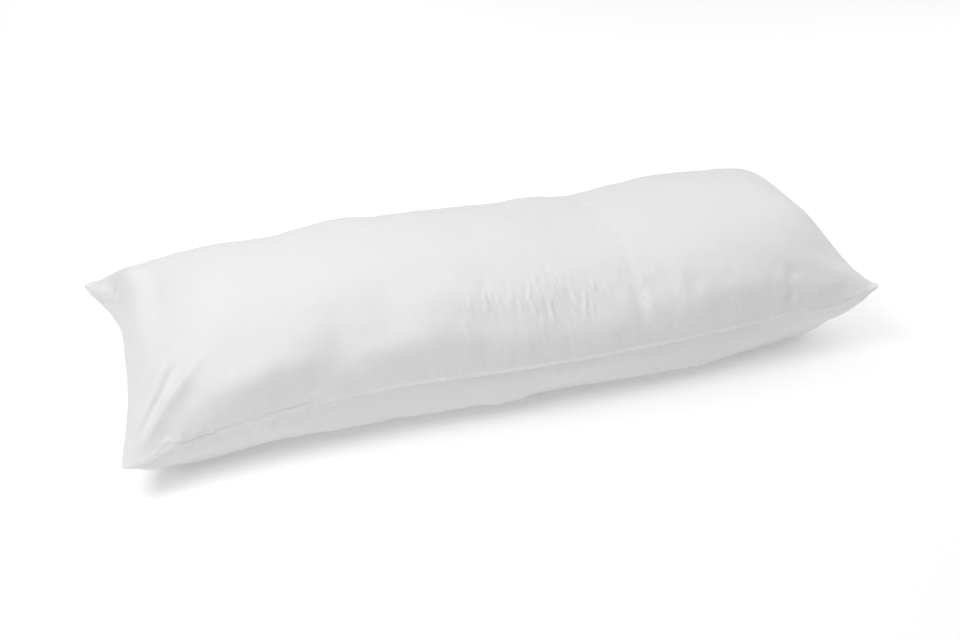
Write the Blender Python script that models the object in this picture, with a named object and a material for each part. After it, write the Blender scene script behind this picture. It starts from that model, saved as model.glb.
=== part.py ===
# Body pillow lying on its back: one filled cloth solid, sewn flat all round, with four drawn-out corners.
# Metres, +Z up, +X along the pillow. The origin is on the floor, under the middle of the pillow.
import bpy
import numpy as np

# Filled size from corner to corner. The empty case is about 1.24 m by 0.52 m.
LENGTH = 1.155
WIDTH = 0.43

# The long seams, left to right.
#          along    pulled in  height
FRONT_SEAM = [
    (-0.578, 0.000, 0.062),
    (-0.552, -0.002, 0.060),
    (-0.520, 0.003, 0.069),
    (-0.470, 0.008, 0.078),
    (-0.380, 0.012, 0.090),
    (-0.200, 0.014, 0.095),
    (0.000, 0.005, 0.091),
    (0.200, 0.003, 0.090),
    (0.350, 0.008, 0.091),
    (0.450, 0.012, 0.094),
    (0.530, 0.010, 0.100),
    (0.578, 0.000, 0.122),
]
BACK_SEAM = [
    (-0.578, 0.000, 0.112),
    (-0.540, 0.004, 0.110),
    (-0.490, 0.007, 0.102),
    (-0.400, 0.006, 0.096),
    (-0.200, 0.004, 0.092),
    (0.000, 0.004, 0.090),
    (0.200, 0.004, 0.090),
    (0.400, 0.006, 0.092),
    (0.500, 0.010, 0.096),
    (0.545, 0.010, 0.098),
    (0.578, 0.000, 0.102),
]

# The end seams, front to back.
#          across   pulled in  height
LEFT_SEAM = [
    (-0.215, 0.000, 0.062),
    (-0.170, 0.012, 0.074),
    (-0.110, 0.024, 0.084),
    (0.000, 0.031, 0.090),
    (0.110, 0.033, 0.094),
    (0.170, 0.024, 0.102),
    (0.215, 0.000, 0.112),
]
RIGHT_SEAM = [
    (-0.215, 0.000, 0.122),
    (-0.170, 0.012, 0.108),
    (-0.110, 0.020, 0.098),
    (0.000, 0.022, 0.094),
    (0.110, 0.018, 0.094),
    (0.170, 0.008, 0.097),
    (0.215, 0.000, 0.102),
]

# The seams' usual height, from which the crown's rise is counted.
SEAM_LEVEL = 0.092

# The crown, left to right. Fullness 2 is an arch; higher numbers have squarer shoulders.
#          along    height   fullness
CROWN = [
    (-0.578, 0.196, 2.4),
    (-0.440, 0.204, 2.5),
    (-0.340, 0.206, 2.5),
    (-0.240, 0.212, 2.6),
    (-0.120, 0.213, 2.6),
    (0.000, 0.210, 2.6),
    (0.120, 0.204, 2.5),
    (0.200, 0.200, 2.5),
    (0.290, 0.211, 2.5),
    (0.380, 0.219, 2.4),
    (0.470, 0.221, 2.4),
    (0.578, 0.228, 2.6),
]

# How far in from an end the filling reaches full height, left and right, above and below the seam.
LEFT_ROUND = 0.21
RIGHT_ROUND = 0.125
BELLY_ROUND = 0.12

# The ends' profile: a higher softness eases longer into the crown, and a lower steepness
# rises faster at the seam.
END_SOFTNESS = 2.6
END_STEEPNESS = 0.57

# The belly hangs below the seam and the floor flattens it.
BELLY_DEPTH = 0.112
BELLY_FULLNESS = 3.0
FLOOR_EASE = 0.014

# How far each corner's flatness reaches in, and its profile: 0.5 is round, 1 is a straight-sided wedge.
#                 reach   wedge
CORNERS = {
    "near left": (0.14, 0.68),
    "near right": (0.13, 0.66),
    "far left": (0.15, 0.60),
    "far right": (0.26, 0.80),
}

# How far an end seam's own line is felt along the pillow: higher is shorter.
END_SEAM_POWER = 7

# Broad swells and dents of the filling, on the upper panel.
#     along   across  reach along  across  height
SWELLS = [
    (-0.520, 0.140, 0.050, 0.050, 0.006),
    (-0.360, -0.165, 0.070, 0.045, 0.005),
    (-0.260, -0.165, 0.030, 0.055, -0.005),
    (-0.190, -0.160, 0.025, 0.045, -0.003),
    (-0.120, -0.165, 0.055, 0.045, 0.006),
    (0.070, -0.165, 0.060, 0.045, -0.005),
    (0.190, -0.165, 0.035, 0.045, -0.005),
    (0.300, -0.165, 0.050, 0.045, 0.005),
    (0.490, -0.110, 0.070, 0.070, 0.010),
    (-0.290, 0.120, 0.040, 0.060, -0.003),
    (-0.190, 0.140, 0.045, 0.060, 0.005),
    (0.064, 0.136, 0.025, 0.050, -0.004),
    (0.125, 0.140, 0.040, 0.050, 0.006),
    (0.220, 0.120, 0.045, 0.060, -0.004),
]

# Folds of the upper panel, each a ridge or a trough from one place to another.
#     from along, across  to along, across  half-width  height
FOLDS = [
    (-0.572, -0.206, -0.470, -0.095, 0.011, 0.006),
    (-0.570, -0.208, -0.462, -0.120, 0.008, -0.006),
    (-0.566, -0.210, -0.430, -0.138, 0.011, 0.006),
    (-0.545, -0.204, -0.440, -0.176, 0.014, -0.005),
    (-0.560, 0.190, -0.520, 0.060, 0.012, -0.004),
    (0.560, -0.200, 0.440, -0.185, 0.010, -0.004),
    (0.560, -0.196, 0.450, -0.150, 0.011, 0.004),
]

# Share of the full rise at which a fold reaches its own height. At the seam it is flat.
FOLD_START = 0.25

# Share of a fold's run over which it fades in, and over which it fades out.
FOLD_FADE_IN = 0.3
FOLD_FADE_OUT = 0.5

# Grid of each panel, and how much closer its lines stand at the seams: 0 is even, 1 is a full cosine.
STEPS_ALONG = 74
STEPS_ACROSS = 36
CLOSER_AT_ENDS = 0.45
CLOSER_AT_SIDES = 0.80


def read_smooth(rows, column, place):
    """Value of a table's column at each place: a cubic through the rows, slopes from the neighbours."""
    table = np.array(rows)
    knots = table[:, 0]
    values = table[:, column]
    slopes = np.gradient(values, knots)
    row = np.clip(np.searchsorted(knots, place, side="right") - 1, 0, len(knots) - 2)
    span = knots[row + 1] - knots[row]
    u = (place - knots[row]) / span
    start = (2*u**3 - 3*u**2 + 1) * values[row] + (u**3 - 2*u**2 + u) * span * slopes[row]
    finish = (3*u**2 - 2*u**3) * values[row + 1] + (u**3 - u**2) * span * slopes[row + 1]
    return start + finish


def ease(share):
    """Smooth step from 0 to 1."""
    share = np.clip(share, 0.0, 1.0)
    return share * share * (3 - 2*share)


def seam_sheet(along, across):
    """The sheet that the four seams span. Along and across run from 0 to 1."""
    x = (along - 0.5) * LENGTH
    y = (across - 0.5) * WIDTH
    front = read_smooth(FRONT_SEAM, 1, x)
    back = read_smooth(BACK_SEAM, 1, x)
    height = (1 - across) * read_smooth(FRONT_SEAM, 2, x) + across * read_smooth(BACK_SEAM, 2, x)
    for seam, reach, inward in ((LEFT_SEAM, 1 - along, 1), (RIGHT_SEAM, along, -1)):
        felt = reach ** END_SEAM_POWER
        straight = (1 - across) * seam[0][2] + across * seam[-1][2]
        x = x + inward * felt * read_smooth(seam, 1, y)
        height = height + felt * (read_smooth(seam, 2, y) - straight)
    y = y + (1 - across) * front - across * back
    return x, y, height


def end_rise(along, left_round, right_round):
    """0 at an end seam, rising in a soft quarter round to 1 where the filling is full."""
    left = np.clip(along * LENGTH / left_round, 0, 1)
    right = np.clip((1 - along) * LENGTH / right_round, 0, 1)
    short_of_full = (1 - np.minimum(left, right)) ** END_SOFTNESS
    return (1 - short_of_full) ** END_STEEPNESS


def side_rise(along, across, fullness):
    """0 at a long seam and 1 at the middle: an arch along the body, a wedge near the corners."""
    off_middle = np.abs(2*across - 1)
    from_end = np.minimum(along, 1 - along) * LENGTH
    power = np.full_like(off_middle, 0.5)
    for corner, (reach, wedge) in CORNERS.items():
        this_side = across < 0.5 if "near" in corner else across >= 0.5
        this_end = along < 0.5 if "left" in corner else along >= 0.5
        flatness = (wedge - 0.5) * (1 - ease(from_end / reach))
        power = power + np.where(this_side & this_end, flatness, 0)
    return np.clip(1 - off_middle ** fullness, 0, 1) ** power


def rest_on_floor(height):
    """Holds the height at the floor, with a short quadratic ease into it."""
    eased = (height + FLOOR_EASE) ** 2 / (4 * FLOOR_EASE)
    return np.where(height > FLOOR_EASE, height, np.where(height < -FLOOR_EASE, 0.0, eased))


def fold_height(x, y):
    """Sum of the swells and folds at each place of the upper panel."""
    total = np.zeros_like(x)
    for along, across, reach_along, reach_across, height in SWELLS:
        total += height * np.exp(-((x - along) / reach_along) ** 2 - ((y - across) / reach_across) ** 2)
    for x0, y0, x1, y1, half_width, height in FOLDS:
        run = np.hypot(x1 - x0, y1 - y0)
        way = ((x - x0) * (x1 - x0) + (y - y0) * (y1 - y0)) / run
        aside = ((x - x0) * (y1 - y0) - (y - y0) * (x1 - x0)) / run
        fade = ease(way / (FOLD_FADE_IN * run)) * ease((run - way) / (FOLD_FADE_OUT * run))
        total += height * fade * np.exp(-(aside / half_width) ** 2)
    return total


def upper_panel(along, across):
    """Places of the upper panel's points."""
    x, y, height = seam_sheet(along, across)
    station = (along - 0.5) * LENGTH
    crown = read_smooth(CROWN, 1, station)
    fullness = read_smooth(CROWN, 2, station)
    filled = end_rise(along, LEFT_ROUND, RIGHT_ROUND) * side_rise(along, across, fullness)
    away_from_seam = np.clip(filled / FOLD_START, 0, 1)
    height = height + (crown - SEAM_LEVEL) * filled + away_from_seam * fold_height(x, y)
    return np.stack([x, y, height], axis=-1)


def lower_panel(along, across):
    """Places of the lower panel's points, flat where it lies on the floor."""
    x, y, height = seam_sheet(along, across)
    hanging = end_rise(along, BELLY_ROUND, BELLY_ROUND) * side_rise(along, across, BELLY_FULLNESS)
    return np.stack([x, y, rest_on_floor(height - BELLY_DEPTH * hanging)], axis=-1)


def spaced(steps, closer):
    """Shares from 0 to 1, standing closer together at both ends."""
    even = np.linspace(0, 1, steps + 1)
    cosine = 0.5 - 0.5 * np.cos(np.pi * even)
    return (1 - closer) * even + closer * cosine


# Build the pillow. The two panels share the points of the seam.
def panel_faces(numbers, facing_up):
    """Quads between the rows of point numbers, wound to face up or down."""
    corners = [numbers[:-1, :-1], numbers[1:, :-1], numbers[1:, 1:], numbers[:-1, 1:]]
    if not facing_up:
        corners.reverse()
    return np.stack(corners, axis=-1).reshape(-1, 4)


def build_pillow():
    """One closed solid of the upper and lower panels."""
    along, across = np.meshgrid(spaced(STEPS_ALONG, CLOSER_AT_ENDS),
                                spaced(STEPS_ACROSS, CLOSER_AT_SIDES), indexing="ij")
    upper = upper_panel(along, across)
    lower = lower_panel(along, across)
    upper_numbers = np.arange(along.size).reshape(along.shape)
    inside = np.zeros(along.shape, dtype=bool)
    inside[1:-1, 1:-1] = True
    lower_numbers = upper_numbers.copy()
    lower_numbers[inside] = along.size + np.arange(inside.sum())
    points = np.concatenate([upper.reshape(-1, 3), lower[inside]])
    lowest = points.min(axis=0)
    highest = points.max(axis=0)
    points[:, :2] -= 0.5 * (lowest + highest)[:2]
    faces = np.concatenate([panel_faces(upper_numbers, True), panel_faces(lower_numbers, False)])
    mesh = bpy.data.meshes.new("pillow")
    mesh.from_pydata(points.tolist(), [], faces.tolist())
    mesh.update()
    mesh.shade_smooth()
    return mesh


def white_cloth():
    """Plain white microfibre."""
    material = bpy.data.materials.new("white_cloth")
    material.use_nodes = True
    shader = material.node_tree.nodes["Principled BSDF"]
    shader.inputs["Base Color"].default_value = (0.85, 0.85, 0.86, 1)
    shader.inputs["Roughness"].default_value = 0.75
    shader.inputs["Metallic"].default_value = 0.0
    return material


def main():
    for old in list(bpy.data.objects):
        bpy.data.objects.remove(old, do_unlink=True)
    pillow = bpy.data.objects.new("pillow", build_pillow())
    pillow.data.materials.append(white_cloth())
    bpy.context.scene.collection.objects.link(pillow)


main()
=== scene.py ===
import bpy
import numpy as np
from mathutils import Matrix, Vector


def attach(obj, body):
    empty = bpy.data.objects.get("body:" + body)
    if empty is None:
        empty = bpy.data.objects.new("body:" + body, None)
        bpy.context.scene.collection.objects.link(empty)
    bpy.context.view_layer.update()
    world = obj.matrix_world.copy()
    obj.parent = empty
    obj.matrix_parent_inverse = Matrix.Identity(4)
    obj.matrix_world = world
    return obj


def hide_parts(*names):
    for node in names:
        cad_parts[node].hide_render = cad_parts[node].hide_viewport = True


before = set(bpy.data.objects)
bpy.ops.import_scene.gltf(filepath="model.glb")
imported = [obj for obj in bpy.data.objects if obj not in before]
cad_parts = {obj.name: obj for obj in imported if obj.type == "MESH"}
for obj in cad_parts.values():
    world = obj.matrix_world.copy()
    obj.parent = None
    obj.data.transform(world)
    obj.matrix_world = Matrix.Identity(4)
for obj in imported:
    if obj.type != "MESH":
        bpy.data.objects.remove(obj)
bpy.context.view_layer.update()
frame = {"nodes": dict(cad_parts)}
print("frame loaded:", ", ".join(frame["nodes"]))

# metres everywhere; x runs along the pillow, y from its near seam to its far one, z up from the floor
pillow = {
    "length": 1.155,         # corner to corner, filled
    "width": 0.43,
    "seamLevel": 0.092,      # the crown's rise is counted from here
    "leftRound": 0.21,       # how far in from an end the filling is full
    "rightRound": 0.125,
    "bellyRound": 0.12,
    "endSoftness": 2.6,
    "endSteepness": 0.57,
    "bellyDepth": 0.112,
    "bellyFullness": 3.0,
    "floorEase": 0.014,
    "endSeamPower": 7,
    "foldStart": 0.25,
    "foldFadeIn": 0.3,
    "foldFadeOut": 0.5,
    "stepsAlong": 460,
    "stepsAcross": 108,
    # along, pulled in, height
    "nearSeam": [
        (-0.578, -0.003, 0.059), (-0.552, -0.003, 0.059), (-0.520, 0.003, 0.069),
        (-0.470, 0.008, 0.078), (-0.380, 0.012, 0.090), (-0.200, 0.014, 0.095),
        (0.000, 0.005, 0.091), (0.200, 0.003, 0.090), (0.350, 0.008, 0.091),
        (0.450, 0.012, 0.094), (0.530, 0.010, 0.100), (0.578, 0.000, 0.122)],
    "farSeam": [
        (-0.578, 0.000, 0.112), (-0.540, 0.004, 0.110), (-0.490, 0.007, 0.102),
        (-0.400, 0.006, 0.096), (-0.200, 0.004, 0.092), (0.000, 0.004, 0.090),
        (0.200, 0.004, 0.090), (0.400, 0.006, 0.092), (0.500, 0.010, 0.096),
        (0.545, 0.010, 0.098), (0.578, 0.000, 0.102)],
    # across, pulled in, height
    "leftSeam": [
        (-0.215, -0.004, 0.059), (-0.170, 0.008, 0.074), (-0.110, 0.020, 0.084), (0.000, 0.030, 0.090),
        (0.110, 0.031, 0.094), (0.170, 0.014, 0.101), (0.195, -0.001, 0.106), (0.215, -0.010, 0.111)],
    "rightSeam": [
        (-0.215, 0.000, 0.122), (-0.170, 0.012, 0.108), (-0.110, 0.020, 0.098), (0.000, 0.022, 0.094),
        (0.110, 0.018, 0.094), (0.170, 0.008, 0.097), (0.215, 0.000, 0.102)],
    # along, height, fullness of the shoulders
    "crown": [
        (-0.578, 0.196, 2.4), (-0.440, 0.204, 2.5), (-0.340, 0.206, 2.5), (-0.240, 0.212, 2.6),
        (-0.120, 0.213, 2.6), (0.000, 0.210, 2.6), (0.120, 0.204, 2.5), (0.200, 0.200, 2.5),
        (0.290, 0.211, 2.5), (0.380, 0.219, 2.4), (0.470, 0.221, 2.4), (0.578, 0.228, 2.6)],
    # reach, wedge
    "corners": {"near left": (0.14, 0.68), "near right": (0.20, 0.84),
                "far left": (0.15, 0.60), "far right": (0.26, 0.80)},
    # along, across, reach along, reach across, height
    "swells": [
        (-0.520, 0.140, 0.050, 0.050, 0.006), (-0.360, -0.165, 0.070, 0.045, 0.005),
        (-0.260, -0.165, 0.030, 0.055, -0.005), (-0.190, -0.160, 0.025, 0.045, -0.003),
        (-0.120, -0.165, 0.055, 0.045, 0.006), (0.070, -0.165, 0.060, 0.045, -0.005),
        (0.190, -0.165, 0.035, 0.045, -0.005), (0.300, -0.165, 0.050, 0.045, 0.005),
        (0.490, -0.100, 0.070, 0.070, 0.007), (-0.290, 0.120, 0.040, 0.060, -0.003),
        (-0.190, 0.140, 0.045, 0.060, 0.005), (0.064, 0.136, 0.030, 0.050, -0.001),
        (0.125, 0.140, 0.040, 0.050, 0.004), (0.220, 0.120, 0.045, 0.060, -0.003),
        (0.525, 0.070, 0.035, 0.100, 0.006), (-0.500, 0.120, 0.060, 0.060, 0.002)],
    # from along, across, to along, across, half-width, height
    "folds": [
        (-0.572, -0.206, -0.470, -0.095, 0.011, 0.006), (-0.570, -0.208, -0.462, -0.120, 0.008, -0.006),
        (-0.566, -0.210, -0.430, -0.138, 0.011, 0.006), (-0.545, -0.204, -0.440, -0.176, 0.014, -0.005),
        (-0.560, 0.190, -0.520, 0.060, 0.012, -0.004), (0.560, -0.200, 0.440, -0.185, 0.010, -0.004),
        (0.560, -0.196, 0.450, -0.150, 0.011, 0.004)],
}


def readSmooth(rows, column, place):
    # a cubic through the rows, its slope at each row taken from the rows on both sides
    rows = np.array(rows)
    knots, values = rows[:, 0], rows[:, column]
    slopes = np.gradient(values, knots)
    k = np.clip(np.searchsorted(knots, place, side="right") - 1, 0, len(knots) - 2)
    span = knots[k + 1] - knots[k]
    u = (place - knots[k]) / span
    return ((2*u**3 - 3*u**2 + 1)*values[k] + (u**3 - 2*u**2 + u)*span*slopes[k]
            + (3*u**2 - 2*u**3)*values[k + 1] + (u**3 - u**2)*span*slopes[k + 1])


def ease(share):
    # 3u^2 - 2u^3, held to 0..1
    share = np.clip(share, 0.0, 1.0)
    return share*share*(3 - 2*share)


def seamSheet(a, c):
    # straight lines from the near seam to the far one, plus each end seam's own line faded by a power
    x = (a - 0.5)*pillow["length"]
    y = (c - 0.5)*pillow["width"]
    near = readSmooth(pillow["nearSeam"], 1, x)
    far = readSmooth(pillow["farSeam"], 1, x)
    z = (1 - c)*readSmooth(pillow["nearSeam"], 2, x) + c*readSmooth(pillow["farSeam"], 2, x)
    for name, reach, inward in (("leftSeam", 1 - a, 1), ("rightSeam", a, -1)):
        seam = pillow[name]
        felt = reach**pillow["endSeamPower"]
        x = x + inward*felt*readSmooth(seam, 1, y)
        z = z + felt*(readSmooth(seam, 2, y) - (1 - c)*seam[0][2] - c*seam[-1][2])
    return x, y + (1 - c)*near - c*far, z


def endRise(a, leftRound, rightRound):
    # (1 - (1 - d)^softness)^steepness, d the share of the round that is behind
    d = np.minimum(np.clip(a*pillow["length"]/leftRound, 0, 1), np.clip((1 - a)*pillow["length"]/rightRound, 0, 1))
    return (1 - (1 - d)**pillow["endSoftness"])**pillow["endSteepness"]


def sideRise(a, c, fullness):
    # (1 - |2c - 1|^fullness)^p, with p 0.5 along the body and the corner's wedge near an end
    off = np.abs(2*c - 1)
    fromEnd = np.minimum(a, 1 - a)*pillow["length"]
    p = np.full_like(off, 0.5)
    for corner, (reach, wedge) in pillow["corners"].items():
        here = (c < 0.5 if "near" in corner else c >= 0.5) & (a < 0.5 if "left" in corner else a >= 0.5)
        p = p + np.where(here, (wedge - 0.5)*(1 - ease(fromEnd/reach)), 0)
    return np.clip(1 - off**fullness, 0, 1)**p


def foldHeight(x, y):
    # bell-shaped swells, and folds that are bell-shaped across and eased at both ends
    total = np.zeros_like(x)
    for px, py, rx, ry, h in pillow["swells"]:
        total += h*np.exp(-((x - px)/rx)**2 - ((y - py)/ry)**2)
    for x0, y0, x1, y1, half, h in pillow["folds"]:
        run = np.hypot(x1 - x0, y1 - y0)
        way = ((x - x0)*(x1 - x0) + (y - y0)*(y1 - y0))/run
        aside = ((x - x0)*(y1 - y0) - (y - y0)*(x1 - x0))/run
        fade = ease(way/(pillow["foldFadeIn"]*run))*ease((run - way)/(pillow["foldFadeOut"]*run))
        total += h*fade*np.exp(-(aside/half)**2)
    return total


def upperPanel(a, c):
    # seam sheet + crown height * end rise * side rise + folds
    x, y, z = seamSheet(a, c)
    station = (a - 0.5)*pillow["length"]
    crown = readSmooth(pillow["crown"], 1, station)
    fullness = readSmooth(pillow["crown"], 2, station)
    filled = endRise(a, pillow["leftRound"], pillow["rightRound"])*sideRise(a, c, fullness)
    z = z + (crown - pillow["seamLevel"])*filled + np.clip(filled/pillow["foldStart"], 0, 1)*foldHeight(x, y)
    return np.stack([x, y, z], axis=-1)


def lowerPanel(a, c):
    # seam sheet - belly depth * end rise * side rise, held at the floor
    x, y, z = seamSheet(a, c)
    hang = endRise(a, pillow["bellyRound"], pillow["bellyRound"])*sideRise(a, c, pillow["bellyFullness"])
    return np.stack([x, y, restOnFloor(z - pillow["bellyDepth"]*hang)], axis=-1)


def restOnFloor(z):
    # z where it is clear of the floor, 0 under it, and (z + e)^2 / 4e in between
    e = pillow["floorEase"]
    return np.where(z > e, z, np.where(z < -e, 0.0, (z + e)**2/(4*e)))


def runAlong(points, axis):
    # distance walked over the cloth from the first row of that axis
    step = np.linalg.norm(np.diff(points, axis=axis), axis=-1)
    return np.insert(np.cumsum(step, axis=axis), 0, 0, axis=axis)


def outward(points, side):
    # cross product of the grid's two directions, made one long and turned outwards
    n = np.cross(np.gradient(points, axis=0), np.gradient(points, axis=1))*side
    return n/np.maximum(np.linalg.norm(n, axis=-1, keepdims=True), 1e-12)


def sharesBy(share, walked, stepAt, count):
    # the running sum of walked / wanted step, cut into equal shares
    middle = 0.5*(walked[1:] + walked[:-1])
    run = np.insert(np.cumsum(np.diff(walked)/stepAt(middle)), 0, 0)
    return np.interp(np.linspace(0, run[-1], count + 1), run, share)


# spacing of the grid lines, in metres of cloth
grid = {
    "seamAlong": 0.0011, "openAlong": 0.0024, "creasedAlong": 0.0012, "alongEase": 0.05,
    "creasedMiddle": 0.74, "creasedHalf": 0.17,
    "seamAcross": 0.0006, "frontAcross": 0.0024, "frontEase": 0.035,
    "topAcross": 0.0066, "topStart": 0.12, "topEnd": 0.05, "topEase": 0.06,
    "farAcross": 0.0016, "farEase": 0.03,
}


def gridShares():
    # places of the grid lines: closest at the seams, close where the cloth is creased, open over the middle
    dense = 0.5 - 0.5*np.cos(np.pi*np.linspace(0, 1, 4001))
    middle = np.full_like(dense, 0.5)
    length = runAlong(upperPanel(dense, middle), 0)
    across = runAlong(upperPanel(middle, dense), 0)

    def alongStep(s):
        edge = np.minimum(s, length[-1] - s)
        creased = np.exp(-((s - grid["creasedMiddle"])/grid["creasedHalf"])**4)
        opened = grid["openAlong"] - grid["creasedAlong"]*creased
        return grid["seamAlong"] + opened*ease(edge/grid["alongEase"])

    def acrossStep(s):
        far = across[-1] - s
        front = grid["frontAcross"]*ease(s/grid["frontEase"])
        top = grid["topAcross"]*ease((s - grid["topStart"])/grid["topEase"])*ease((far - grid["topEnd"])/grid["topEase"])
        return grid["seamAcross"] + front + top - grid["farAcross"]*ease(1 - far/grid["farEase"])

    return (sharesBy(dense, length, alongStep, pillow["stepsAlong"]),
            sharesBy(dense, across, acrossStep, pillow["stepsAcross"]))


# what the sewing does to the cloth: height, how far above the seam its line runs, half-width above it and below it
sewing = {
    "seamRidge": (0.0034, -0.0005, 0.0029, 0.0020),          # a neat run of the seam
    "ridgeShade": (-0.0004, -0.0034, 0.0010, 0.0014),
    "ridgeStart": -0.30, "ridgeFull": -0.06, "ridgeLeast": 0.55,      # it stands up slowly from the left
    "sunkGroove": (-0.0009, 0.0004, 0.0008, 0.0008),         # where it pulls in
    "sunkRoll": (0.0010, -0.0034, 0.0018, 0.0034),
    "sunkStretches": [(-0.500, -0.310, 0.030), (0.462, 0.566, 0.020)],   # from along, to along, soft ends
    "seamBlend": 0.002,
    "puckerHeight": 0.00030, "puckerPitch": 0.021, "puckerReach": 0.012,
    "cornerBlunt": [0.0010, 0.0022, 0.0040, 0.0030],         # near left, near right, far left, far right
    "cornerSlope": 0.45, "cornerReach": 0.012,
}
# broad rolls and hollows of the filled cloth: along, up from the near seam, reach along, reach up, height
rolls = [
    (-0.425, 0.050, 0.034, 0.024, 0.0078), (-0.378, 0.056, 0.034, 0.027, 0.0085),
    (-0.332, 0.060, 0.026, 0.027, 0.0052), (-0.235, 0.046, 0.022, 0.024, 0.0050),
    (-0.192, 0.052, 0.032, 0.026, 0.0080), (-0.138, 0.060, 0.034, 0.027, 0.0085),
    (-0.090, 0.052, 0.026, 0.026, 0.0060), (-0.015, 0.042, 0.060, 0.022, 0.0030),
    (0.115, 0.042, 0.060, 0.022, 0.0026), (0.285, 0.058, 0.040, 0.026, 0.0055),
    (0.350, 0.056, 0.040, 0.026, 0.0055), (0.410, 0.046, 0.034, 0.024, 0.0030),
    (-0.272, 0.080, 0.014, 0.030, -0.0020), (-0.272, 0.022, 0.014, 0.020, 0.0026),
    (-0.482, 0.056, 0.013, 0.014, -0.0014), (-0.516, 0.020, 0.012, 0.009, -0.0018),
    (-0.538, 0.350, 0.019, 0.075, 0.0140), (-0.541, 0.230, 0.018, 0.070, 0.0085),
    (-0.562, 0.385, 0.011, 0.060, -0.0075), (-0.563, 0.250, 0.010, 0.070, -0.0030),
    (0.186, 0.066, 0.009, 0.026, -0.0040), (0.164, 0.070, 0.012, 0.024, 0.0026),
    (0.204, 0.064, 0.010, 0.017, 0.0034), (0.260, 0.096, 0.009, 0.019, 0.0036),
    (0.240, 0.098, 0.009, 0.020, -0.0018), (0.280, 0.092, 0.010, 0.022, -0.0006),
    (0.385, 0.300, 0.030, 0.022, 0.0030), (0.043, 0.246, 0.022, 0.016, 0.0020),
    (0.446, 0.062, 0.014, 0.012, -0.0026), (0.508, 0.034, 0.040, 0.022, 0.0058),
    (0.545, 0.020, 0.020, 0.014, 0.0028), (-0.120, -0.075, 0.090, 0.032, 0.0078),
    (0.235, -0.070, 0.080, 0.032, 0.0078), (-0.265, -0.075, 0.070, 0.032, 0.0072),
    (-0.030, -0.072, 0.042, 0.032, 0.0058), (0.310, -0.062, 0.060, 0.030, 0.0042),
    (-0.460, -0.050, 0.028, 0.030, -0.0030), (0.075, 0.095, 0.045, 0.030, 0.0022),
    (0.535, -0.024, 0.030, 0.020, 0.0075), (0.560, -0.012, 0.018, 0.012, 0.0030),
]
waves = {
    "seed": 7,
    # height, shortest wave, longest wave, how many
    "broad": (0.0008, 0.060, 0.150, 14),
    "small": (0.00022, 0.016, 0.040, 22),
}
# where the nap is most creased, in the same terms; the last number is how much
wornPlaces = [
    (0.045, 0.100, 0.110, 0.055, 0.80), (0.230, 0.085, 0.050, 0.045, 0.55), (-0.400, 0.060, 0.090, 0.045, 0.08),
    (-0.120, 0.070, 0.100, 0.040, 0.25), (0.400, 0.060, 0.090, 0.035, 0.30), (-0.565, 0.400, 0.030, 0.060, 0.35),
]
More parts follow.
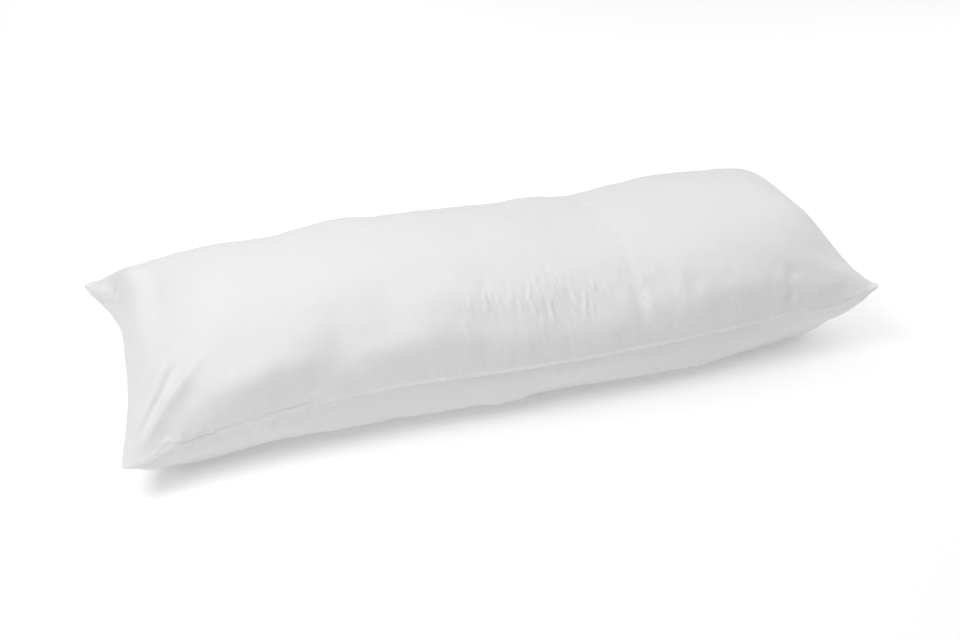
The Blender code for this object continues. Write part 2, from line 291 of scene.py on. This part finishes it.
# sharper creases: from along and up, to along and up, half-width, height; under the near seam, up is minus
creases = [
    (-0.080, 0.166, -0.080, 0.148, 0.0030, 0.0009), (-0.071, 0.122, -0.076, 0.089, 0.0026, 0.0016),
    (-0.044, 0.131, -0.052, 0.081, 0.0024, 0.0025), (-0.037, 0.126, -0.039, 0.106, 0.0022, 0.0014),
    (-0.029, 0.121, -0.027, 0.090, 0.0024, 0.0016), (-0.007, 0.126, -0.009, 0.102, 0.0026, 0.0014),
    (0.004, 0.106, -0.002, 0.077, 0.0024, 0.0016), (0.028, 0.136, 0.014, 0.095, 0.0026, 0.0023),
    (0.021, 0.102, 0.021, 0.074, 0.0026, 0.0025), (0.051, 0.132, 0.051, 0.114, 0.0030, 0.0014),
    (0.048, 0.101, 0.044, 0.056, 0.0026, 0.0025), (0.028, 0.076, 0.028, 0.052, 0.0028, 0.0016),
    (0.068, 0.117, 0.071, 0.103, 0.0024, 0.0014), (0.078, 0.076, 0.083, 0.053, 0.0028, 0.0016),
    (0.120, 0.118, 0.125, 0.094, 0.0024, 0.0025), (0.109, 0.084, 0.111, 0.065, 0.0026, 0.0016),
    (0.104, 0.102, 0.093, 0.051, 0.0032, 0.0019), (0.141, 0.114, 0.142, 0.079, 0.0030, 0.0016),
    (0.219, 0.159, 0.221, 0.140, 0.0040, 0.0009), (0.204, 0.114, 0.199, 0.093, 0.0032, 0.0013),
    (0.245, 0.079, 0.251, 0.065, 0.0032, 0.0011), (0.321, 0.296, 0.378, 0.303, 0.0070, -0.0018),
    (0.050, 0.040, 0.078, 0.043, 0.0022, 0.0007), (0.430, 0.044, 0.432, 0.019, 0.0060, -0.0016),
    (0.486, 0.030, 0.490, 0.003, 0.0050, -0.0012), (0.526, 0.020, 0.532, 0.005, 0.0036, -0.0010),
    (0.442, 0.040, 0.445, 0.010, 0.0044, 0.0016), (0.479, 0.034, 0.533, 0.031, 0.0040, 0.0013),
    (0.492, 0.020, 0.528, 0.022, 0.0040, 0.0011), (-0.576, 0.014, -0.496, 0.138, 0.0088, 0.0017),
    (-0.570, 0.006, -0.458, 0.110, 0.0076, 0.0016), (-0.563, 0.032, -0.476, 0.112, 0.0030, -0.0005),
    (0.450, 0.124, 0.572, 0.006, 0.0280, -0.0030), (-0.485, 0.0030, -0.456, 0.0042, 0.0018, 0.0009),
    (-0.480, 0.0085, -0.458, 0.0090, 0.0018, 0.0008), (-0.503, 0.0080, -0.489, 0.0045, 0.0022, 0.0016),
    (-0.456, -0.001, -0.449, 0.002, 0.0026, 0.0018), (-0.544, 0.416, -0.586, 0.402, 0.0070, -0.0046),
    (-0.536, 0.374, -0.586, 0.360, 0.0075, -0.0046), (-0.542, 0.394, -0.586, 0.382, 0.0060, 0.0026),
    (-0.422, -0.004, -0.451, -0.038, 0.0034, 0.0013), (-0.400, -0.004, -0.424, -0.040, 0.0034, -0.0010),
    (-0.382, -0.003, -0.403, -0.042, 0.0034, 0.0013), (-0.361, -0.004, -0.377, -0.032, 0.0030, -0.0012),
    (-0.343, -0.003, -0.363, -0.040, 0.0034, 0.0013), (-0.318, -0.003, -0.337, -0.040, 0.0034, 0.0011),
    (-0.470, -0.003, -0.484, -0.026, 0.0040, 0.0014), (-0.445, -0.002, -0.462, -0.022, 0.0034, -0.0012),
    (-0.250, -0.004, -0.262, -0.034, 0.0040, 0.0007), (-0.090, -0.004, -0.096, -0.030, 0.0040, 0.0007),
    (0.300, -0.004, 0.306, -0.030, 0.0040, 0.0008), (0.470, -0.004, 0.480, -0.028, 0.0035, 0.0012),
]


def rollHeight(rows, x, s):
    # bells in the cloth's own two directions
    total = np.zeros_like(x)
    for along, up, reachAlong, reachUp, height in rows:
        total += height*np.exp(-((x - along)/reachAlong)**2 - ((s - up)/reachUp)**2)
    return total


def waveHeight(points, height, shortest, longest, count, seed):
    # sum of sines over random directions, each as high as its wave is long
    chance = np.random.default_rng(seed)
    total = np.zeros(points.shape[:-1])
    power = 0.0
    for length in np.geomspace(shortest, longest, count):
        way = chance.normal(size=3)
        way *= 2*np.pi/(length*np.linalg.norm(way))
        size = length/longest
        total += size*np.sin(points@way + chance.uniform(0, 2*np.pi))
        power += 0.5*size*size
    return total*height/np.sqrt(power)


def creaseHeight(x, s):
    # each crease is a bell across its line, faded at both ends, on a cloth that wanders a little sideways
    x = x + 0.0010*np.sin(2*np.pi*s/0.043 + 40*x) + 0.0006*np.sin(2*np.pi*s/0.019 + 90*x)
    total = np.zeros_like(x)
    for x0, s0, x1, s1, half, height in creases:
        run = np.hypot(x1 - x0, s1 - s0)
        way = ((x - x0)*(x1 - x0) + (s - s0)*(s1 - s0))/run
        aside = ((x - x0)*(s1 - s0) - (s - s0)*(x1 - x0))/run
        fade = ease(way/(0.45*run) + 0.15)*ease((run - way)/(0.45*run) + 0.15)
        hollow = 0.35*np.exp(-((aside - 2.1*half)/(1.5*half))**2)
        total += height*fade*(np.exp(-(aside/half)**2) - hollow)
    return total


def puckers(u, pitch, phase):
    # a sine whose pitch wanders, times an uneven strength that leaves some stretches smooth
    turn = 2*np.pi*u/pitch + 1.7*np.sin(u*31 + phase) + 0.9*np.sin(u*67 + 2*phase)
    strong = 0.5 + 0.35*np.sin(u*13 + 3*phase) + 0.3*np.sin(u*29 + phase)
    return np.sin(turn)*np.clip(strong, 0, 1)


def sewnHeight(x, fromSeams, seamwise, side):
    # across a seam: bells with their own width above and below, one kind where the seam lies neat and another where it
    # is pulled in, and puckers along it that grow and fade with d*exp(1 - d)
    k = sewing["seamBlend"]
    near, far, left, right = fromSeams
    weights = np.exp(-np.stack(fromSeams)/k)
    d = np.maximum(-k*np.log(np.maximum(weights.sum(axis=0), 1e-30)), 0)
    weights /= np.maximum(weights.sum(axis=0), 1e-30)
    sunk = 0.35*(weights[1] + weights[2] + weights[3])
    for start, end, soft in sewing["sunkStretches"]:
        sunk = sunk + weights[0]*ease((x - start)/soft + 0.5)*ease((end - x)/soft + 0.5)
    up = side*d + (0.0002 + 0.0004*sunk)*np.sin(x*310 + 2*np.sin(x*47))
    uneven = 1 + (0.4 + 0.6*sunk)*(0.22*np.sin(x*37 + 1) + 0.18*np.sin(x*83) + 0.12*np.sin(x*151 + 2))
    total = np.zeros_like(x)
    least, start, full = sewing["ridgeLeast"], sewing["ridgeStart"], sewing["ridgeFull"]
    neat = (1 - sunk)*(least + (1 - least)*ease((x - start)/(full - start)))
    for name, share in (("seamRidge", neat), ("ridgeShade", neat), ("sunkGroove", sunk), ("sunkRoll", sunk)):
        height, centre, above, below = sewing[name]
        total = total + share*uneven*height*np.exp(-((up - centre)/np.where(up > centre, above, below))**2)
    grow = (d/sewing["puckerReach"])*np.exp(1 - d/sewing["puckerReach"])
    fromCorner = np.minimum(near + left, np.minimum(near + right, np.minimum(far + left, far + right)))
    calm = ease(fromCorner/0.06)*(1 - 0.6*(side > 0)*weights[0])
    for weight, u, phase in zip(weights, seamwise, (0.4, 2.1, 3.3, 5.2)):
        total = total + weight*calm*sewing["puckerHeight"]*grow*puckers(u, sewing["puckerPitch"], phase + 0.3*side)
    return total*ease(fromCorner/0.02)


def bluntCorners(points, fromSeams):
    # round each corner: a point goes in along x by b(1 - slope*v/b)^2, v its distance from the side seam, and along y by
    # the same of its distance from the end seam; both fade out a little way into the panel
    near, far, left, right = fromSeams
    points = points.copy()
    sides, ends = (near, near, far, far), (left, right, left, right)
    for blunt, side, end, along, across in zip(sewing["cornerBlunt"], sides, ends, (1, -1, 1, -1), (1, 1, -1, -1)):
        inX, inY = [blunt*np.clip(1 - sewing["cornerSlope"]*d/blunt, 0, 1)**2 for d in (side, end)]
        points[..., 0] += along*inX*(1 - ease(end/sewing["cornerReach"]))
        points[..., 1] += across*inY*(1 - ease(side/sewing["cornerReach"]))
    return points


# how the cloth is dressed near its seams and at the floor: distances in metres, shares from 0 to 1
dressing = {
    "waveEase": 0.02, "solverEase": 0.008, "foldEase": 0.01,
    "flatReach": 0.06, "flatStart": -0.47, "flatSoft": 0.06,
    "creasedLeast": 0.12, "creasedAtSeams": 0.24, "creasedReach": 0.03, "keptLeast": 0.12,
    "floorClear": 0.004, "floorEase": 0.03,
}


def dressPanel(base, station, side, blown):
    # how high every point of a panel stands out, its place on the cloth, how creased it is and how far from each seam
    s = runAlong(base, 1)
    t = runAlong(base, 0)
    fromSeams = (s, s[:, -1:] - s, t, t[-1:] - t)
    y = base[..., 1]
    heights = sewnHeight(station, fromSeams, (station, station, y, y), side)
    nearest = np.minimum(np.minimum(s, fromSeams[1]), np.minimum(t, fromSeams[3]))
    edge = ease(nearest/dressing["waveEase"])
    heights = heights + edge*waveHeight(base, *waves["broad"], waves["seed"])
    heights = heights + edge*waveHeight(base, *waves["small"], waves["seed"] + 1)
    # the long near seam lies flat
    flat = np.exp(-(s/dressing["flatReach"])**2)*ease((station - dressing["flatStart"])/dressing["flatSoft"])
    atSeams = np.exp(-(nearest/dressing["creasedReach"])**2)
    creased = dressing["creasedLeast"] + rollHeight(wornPlaces, station, side*s) + dressing["creasedAtSeams"]*atSeams
    kept = np.clip(dressing["keptLeast"] + creased, 0, 1)*(1 - (1 - filling["seamShare"])*flat)
    heights = heights + blown*kept*ease(nearest/dressing["solverEase"])
    folds = creaseHeight(station, side*s) + rollHeight(rolls, station, side*s)
    heights = heights + ease(fromSeams[1]/dressing["foldEase"])*folds
    if side < 0:             # the cloth lies smooth where it comes to the floor
        clear = ease((base[..., 2] - dressing["floorClear"])/dressing["floorEase"])
        heights, creased = heights*clear, creased*clear
    return heights, np.stack([t + 0.01, side*s], axis=-1), creased, fromSeams


# the filling is blown up as cloth on an open grid, and the small waves that this leaves are kept
filling = {
    "stepsAlong": 136, "stepsAcross": 46,
    "frames": 20, "pressure": 4.0, "slack": -0.030, "bend": 0.05, "stretch": 15.0, "shear": 4.5, "mass": 0.25,
    "restsBelow": 0.002,     # cloth this near the floor is held
    "broad": 4.5,            # grid steps; whatever is wider than this stays as modelled
    "mostMove": 0.0040, "share": 0.6, "seamShare": 0.30,
}


def blurRows(values, size, axis):
    # each value becomes the mean of its neighbours, weighed by exp(-(steps / size)^2 / 2)
    reach = int(3*size)
    bell = np.exp(-0.5*(np.arange(-reach, reach + 1)/size)**2)
    padded = np.pad(values, [(reach, reach) if k == axis else (0, 0) for k in range(2)], mode="edge")
    return np.apply_along_axis(lambda row: np.convolve(row, bell/bell.sum(), "valid"), axis, padded)


def cubicShares(knots, places):
    # a matrix that reads a cubic through the knots' values at the places
    unit = np.eye(len(knots))
    return np.stack([readSmooth(np.column_stack([knots, row]), 1, places) for row in unit], axis=1)


def blownWaves(fineA, fineC):
    # height of the small waves on the upper and on the lower panel, from one short run of the cloth solver
    dense = 0.5 - 0.5*np.cos(np.pi*np.linspace(0, 1, 4001))
    middle = np.full_like(dense, 0.5)
    even = lambda walked: np.ones_like(walked)
    coarseA = sharesBy(dense, runAlong(upperPanel(dense, middle), 0), even, filling["stepsAlong"])
    coarseC = sharesBy(dense, runAlong(upperPanel(middle, dense), 0), even, filling["stepsAcross"])
    a, c = np.meshgrid(coarseA, coarseC, indexing="ij")
    upper, lower = upperPanel(a, c), lowerPanel(a, c)
    inside = np.zeros(a.shape, dtype=bool)
    inside[1:-1, 1:-1] = True
    numbers = np.arange(a.size).reshape(a.shape)
    below = numbers.copy()
    below[inside] = a.size + np.arange(inside.sum())
    points = np.concatenate([upper.reshape(-1, 3), lower[inside]])
    quads = np.concatenate([panelQuads(below, False), panelQuads(numbers, True)])
    mesh = bpy.data.meshes.new("blownCloth")
    mesh.from_pydata(points.tolist(), [], quads.tolist())
    blown = bpy.data.objects.new("blownCloth", mesh)
    bpy.context.scene.collection.objects.link(blown)
    held = np.concatenate([~inside.ravel(), (lower[inside][:, 2] < filling["restsBelow"])])
    blown.vertex_groups.new(name="held").add(np.flatnonzero(held).tolist(), 1.0, "REPLACE")
    cloth = blown.modifiers.new("cloth", "CLOTH")
    feel = cloth.settings
    feel.vertex_group_mass = "held"
    feel.use_pressure = True
    feel.uniform_pressure_force = filling["pressure"]
    feel.shrink_min = filling["slack"]
    feel.bending_stiffness = filling["bend"]
    feel.tension_stiffness = feel.compression_stiffness = filling["stretch"]
    feel.shear_stiffness = filling["shear"]
    feel.mass = filling["mass"]
    feel.effector_weights.gravity = 0
    cloth.collision_settings.use_collision = False
    cloth.point_cache.frame_end = filling["frames"]
    for step in range(1, filling["frames"] + 1):
        bpy.context.scene.frame_set(step)
    made = blown.evaluated_get(bpy.context.evaluated_depsgraph_get()).data
    moved = np.empty(len(points)*3)
    made.vertices.foreach_get("co", moved)
    moved = moved.reshape(-1, 3)
    bpy.data.objects.remove(blown)
    bpy.data.meshes.remove(mesh)
    bpy.context.scene.frame_set(1)

    heights = []
    toA, toC = cubicShares(coarseA, fineA), cubicShares(coarseC, fineC)
    for base, order, side in ((upper, numbers, 1), (lower, below, -1)):
        height = ((moved[order] - base)*outward(base, side)).sum(axis=-1)
        height[~inside] = 0
        small = height - blurRows(blurRows(height, filling["broad"], 0), filling["broad"], 1)
        print("blown cloth moved", round(float(np.abs(height).max()), 4), "waves", round(float(small.std()), 5))
        small = filling["mostMove"]*np.tanh(small*filling["share"]/filling["mostMove"])
        heights.append(toA@small@toC.T)
    return heights


def panelQuads(numbers, facingUp):
    quads = np.stack([numbers[:-1, :-1], numbers[1:, :-1], numbers[1:, 1:], numbers[:-1, 1:]], axis=-1)
    return (quads if facingUp else quads[..., ::-1]).reshape(-1, 4)


def makePillow():
    shares = gridShares()
    a, c = np.meshgrid(*shares, indexing="ij")
    upWaves, downWaves = blownWaves(*shares)
    upper, lower = upperPanel(a, c), lowerPanel(a, c)
    both = np.concatenate([upper.reshape(-1, 3), lower.reshape(-1, 3)])
    middle = 0.5*(both.min(axis=0) + both.max(axis=0))*(1, 1, 0)
    upper, lower = upper - middle, lower - middle

    inside = np.zeros(a.shape, dtype=bool)
    inside[1:-1, 1:-1] = True
    edge = ~inside
    station = (a - 0.5)*pillow["length"]
    upHeight, upMap, upCreased, upSeams = dressPanel(upper, station, 1, upWaves)
    downHeight, downMap, downCreased, _ = dressPanel(lower, station, -1, downWaves)
    seam = 0.5*(upHeight + downHeight)
    upHeight[edge] = seam[edge]
    downHeight[edge] = seam[edge]
    upOut, downOut = outward(upper, 1), outward(lower, -1)
    seamOut = upOut + downOut
    seamOut /= np.maximum(np.linalg.norm(seamOut, axis=-1, keepdims=True), 1e-6)
    upOut[edge] = seamOut[edge]
    downOut[edge] = seamOut[edge]
    upper = bluntCorners(upper + upOut*upHeight[..., None], upSeams)
    lower = bluntCorners(lower + downOut*downHeight[..., None], upSeams)
    lower[..., 2] = np.maximum(lower[..., 2], 0.0)

    numbers = np.arange(a.size).reshape(a.shape)
    below = numbers.copy()
    below[inside] = a.size + np.arange(inside.sum())
    points = np.concatenate([upper.reshape(-1, 3), lower[inside]])
    quads = np.concatenate([panelQuads(below, False), panelQuads(numbers, True)])
    loopMap = np.concatenate([downMap.reshape(-1, 2)[panelQuads(numbers, False)],
                              upMap.reshape(-1, 2)[panelQuads(numbers, True)]]).reshape(-1, 2)
    mesh = bpy.data.meshes.new("pillowCloth")
    mesh.from_pydata(points.tolist(), [], quads.tolist())
    mesh.uv_layers.new(name="clothMap").data.foreach_set("uv", loopMap.ravel())
    creased = np.concatenate([upCreased.ravel(), downCreased[inside]])
    mesh.attributes.new("creased", "FLOAT", "POINT").data.foreach_set("value", creased)
    mesh.shade_smooth()
    mesh.update()
    piece = bpy.data.objects.new("pillowCloth", mesh)
    bpy.context.scene.collection.objects.link(piece)
    return piece


pillowCloth = makePillow()
print("cloth made:", len(pillowCloth.data.polygons), "faces")


# white brushed microfibre: lengths in metres, so the pattern has its real size on the cloth map
microfibre = {
    "white": (0.852, 0.854, 0.860), "shade": (0.834, 0.837, 0.844),
    "threadPitch": 0.00055, "slubLength": 0.030, "slubWidth": 0.0014,
    "napSize": 0.0022, "cloudSize": 0.060, "wrinkleDepth": 0.0044,
    "wrinkles": [(0.0066, 0.042, -0.12), (0.0150, 0.080, -0.03)],    # width, length, lean
    "napTone": 0.45, "slubTone": 0.25, "toneRange": (0.65, 1.25),
    # strength and depth of the bumps
    "weaveRelief": (0.5, 0.00006), "slubRelief": (0.6, 0.00022), "napRelief": (0.5, 0.00016),
    "rough": (0.50, 0.62), "sheen": 0.20, "sheenRough": 0.45, "specular": 0.50,
}


def put(tree, kind, **values):
    # one node, with its properties and its inputs by name; a node given as a value is linked
    made = tree.nodes.new(kind)
    for name, value in values.items():
        if hasattr(made, name):
            setattr(made, name, value)
            continue
        socket = made.inputs[name.replace("_", " ")] if not name.startswith("in") else made.inputs[int(name[2:])]
        if isinstance(value, bpy.types.NodeSocket):
            tree.links.new(value, socket)
        else:
            socket.default_value = value
    return made


def clothMaterial():
    made = bpy.data.materials.new("brushedMicrofibre")
    made.use_nodes = True
    tree = made.node_tree
    shader = tree.nodes["Principled BSDF"]
    cloth = put(tree, "ShaderNodeUVMap", uv_map="clothMap").outputs["UV"]
    place = put(tree, "ShaderNodeTexCoord").outputs["Object"]

    # plain weave: a sine along the warp times one along the weft
    pitch = 2*np.pi/microfibre["threadPitch"]
    split = put(tree, "ShaderNodeSeparateXYZ", Vector=cloth)
    sines = []
    for axis in ("X", "Y"):
        turned = put(tree, "ShaderNodeMath", operation="MULTIPLY", in0=split.outputs[axis], in1=pitch)
        sines.append(put(tree, "ShaderNodeMath", operation="SINE", in0=turned.outputs[0]).outputs[0])
    weave = put(tree, "ShaderNodeMath", operation="MULTIPLY", in0=sines[0], in1=sines[1]).outputs[0]

    # slubs: noise drawn out along each thread direction
    slubs = []
    for along, across in ((microfibre["slubLength"], microfibre["slubWidth"]),
                          (microfibre["slubWidth"], microfibre["slubLength"])):
        drawn = put(tree, "ShaderNodeMapping", Vector=cloth, Scale=(1/along, 1/across, 1))
        slubs.append(put(tree, "ShaderNodeTexNoise", Vector=drawn.outputs[0], Scale=1.0, Detail=2.0).outputs["Fac"])
    slub = put(tree, "ShaderNodeMath", operation="ADD", in0=slubs[0], in1=slubs[1]).outputs[0]

    nap = put(tree, "ShaderNodeTexNoise", Vector=place, Scale=1/microfibre["napSize"], Detail=3.0,
              Roughness=0.6).outputs["Fac"]
    cloud = put(tree, "ShaderNodeTexNoise", Vector=place, Scale=1/microfibre["cloudSize"], Detail=4.0).outputs["Fac"]

    # colour: soft clouds of tone, a little nap and slub in them
    toned = put(tree, "ShaderNodeMath", operation="MULTIPLY_ADD", in0=nap, in1=microfibre["napTone"], in2=cloud).outputs[0]
    toned = put(tree, "ShaderNodeMath", operation="MULTIPLY_ADD", in0=slub, in1=microfibre["slubTone"], in2=toned).outputs[0]
    least, most = microfibre["toneRange"]
    ramp = put(tree, "ShaderNodeMapRange", Value=toned, From_Min=least, From_Max=most).outputs[0]
    colour = put(tree, "ShaderNodeMix", data_type="RGBA")
    tree.links.new(ramp, colour.inputs[0])
    colour.inputs[6].default_value = (*microfibre["shade"], 1)
    colour.inputs[7].default_value = (*microfibre["white"], 1)
    tree.links.new(colour.outputs[2], shader.inputs["Base Color"])

    rough = put(tree, "ShaderNodeMapRange", Value=nap, From_Min=0.3, From_Max=0.7,
                To_Min=microfibre["rough"][0], To_Max=microfibre["rough"][1]).outputs[0]
    tree.links.new(rough, shader.inputs["Roughness"])

    # relief: fine wrinkles where the cloth is creased, then weave, slubs and nap
    creased = put(tree, "ShaderNodeAttribute", attribute_name="creased").outputs["Fac"]
    fine = creased
    for width, length, lean in microfibre["wrinkles"]:
        drawn = put(tree, "ShaderNodeMapping", Vector=cloth, Rotation=(0, 0, lean),
                    Scale=(1/width, 1/length, 1))
        noise = put(tree, "ShaderNodeTexNoise", Vector=drawn.outputs[0], Scale=1.0, Detail=1.0,
                    Distortion=0.3).outputs["Fac"]
        fine = put(tree, "ShaderNodeMath", operation="MULTIPLY", in0=fine, in1=noise).outputs[0]
    bump = put(tree, "ShaderNodeBump", Height=fine, Strength=1.0, Distance=microfibre["wrinkleDepth"])
    for height, relief in ((weave, "weaveRelief"), (slub, "slubRelief"), (nap, "napRelief")):
        strength, depth = microfibre[relief]
        bump = put(tree, "ShaderNodeBump", Height=height, Strength=strength, Distance=depth, Normal=bump.outputs[0])
    tree.links.new(bump.outputs[0], shader.inputs["Normal"])

    shader.inputs["Sheen Weight"].default_value = microfibre["sheen"]
    shader.inputs["Sheen Roughness"].default_value = microfibre["sheenRough"]
    shader.inputs["Specular IOR Level"].default_value = microfibre["specular"]
    return made


pillowCloth.data.materials.append(clothMaterial())
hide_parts("pillow")
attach(pillowCloth, "root")
print("cloth dressed in white microfibre")


# studio: white floor, soft light from above and behind the left end, little from the front
studio = {
    "floorSize": 16.0, "floorLevel": -0.0005, "floorWhite": 0.90, "floorGlow": 0.195,
    "world": 0.194,
    # name, where it stands, where it points, size, watts
    "softboxes": [
        ("overheadBox", (0.0, 0.0, 3.0), (0.0, 0.0, 0.1), 5.0, 74.6),
        ("keyBox", (-1.4, -0.5, 2.2), (0.0, 0.0, 0.1), 1.0, 14.8),
        ("leftBox", (-1.6, -0.6, 1.1), (-0.3, 0.0, 0.1), 1.0, 3.5),
        ("backBox", (-0.2, 2.4, 1.3), (0.0, 0.0, 0.1), 2.0, 10.9),
        ("rightBox", (2.4, 0.0, 1.2), (0.3, 0.0, 0.1), 1.4, 5.0),
        ("backRightBox", (2.2, 1.0, 1.4), (0.4, 0.0, 0.1), 1.4, 6.7),
    ],
}
camera = {"azimuth": -19.2, "elevation": 30.8, "distance": 2.054, "target": (-0.0135, -0.042, 0.08), "lens": 50.0}


def pointAt(piece, where, target):
    piece.location = where
    piece.rotation_euler = (Vector(target) - Vector(where)).to_track_quat("-Z", "Y").to_euler()


def makeFloor():
    half = studio["floorSize"]/2
    mesh = bpy.data.meshes.new("studioFloor")
    corners = [(x*half, y*half, studio["floorLevel"]) for x, y in ((-1, -1), (1, -1), (1, 1), (-1, 1))]
    mesh.from_pydata(corners, [], [(0, 1, 2, 3)])
    floor = bpy.data.objects.new("studioFloor", mesh)
    bpy.context.scene.collection.objects.link(floor)
    paper = bpy.data.materials.new("whitePaper")
    paper.use_nodes = True
    shader = paper.node_tree.nodes["Principled BSDF"]
    white = studio["floorWhite"]
    shader.inputs["Base Color"].default_value = (white, white, white, 1)
    shader.inputs["Roughness"].default_value = 0.9
    shader.inputs["Specular IOR Level"].default_value = 0.2
    shader.inputs["Emission Color"].default_value = (1, 1, 1, 1)
    shader.inputs["Emission Strength"].default_value = studio["floorGlow"]
    mesh.materials.append(paper)


def makeLights():
    world = bpy.data.worlds.new("studioAir")
    world.use_nodes = True
    world.node_tree.nodes["Background"].inputs["Strength"].default_value = studio["world"]
    world.node_tree.nodes["Background"].inputs["Color"].default_value = (1, 1, 1, 1)
    bpy.context.scene.world = world
    for name, where, target, size, watts in studio["softboxes"]:
        data = bpy.data.lights.new(name, "AREA")
        data.shape = "SQUARE"
        data.size = size
        data.energy = watts
        box = bpy.data.objects.new(name, data)
        bpy.context.scene.collection.objects.link(box)
        pointAt(box, where, target)


def makeCamera():
    data = bpy.data.cameras.new("photoCamera")
    data.lens = camera["lens"]
    data.sensor_width = 36.0
    data.clip_end = 60.0
    view = bpy.data.objects.new("photoCamera", data)
    bpy.context.scene.collection.objects.link(view)
    az, el = np.radians(camera["azimuth"]), np.radians(camera["elevation"])
    back = Vector((np.sin(az)*np.cos(el), -np.cos(az)*np.cos(el), np.sin(el)))
    target = Vector(camera["target"])
    pointAt(view, target + back*camera["distance"], target)
    bpy.context.scene.camera = view


makeFloor()
makeLights()
makeCamera()
bpy.context.scene.view_settings.view_transform = "Standard"
print("studio ready")
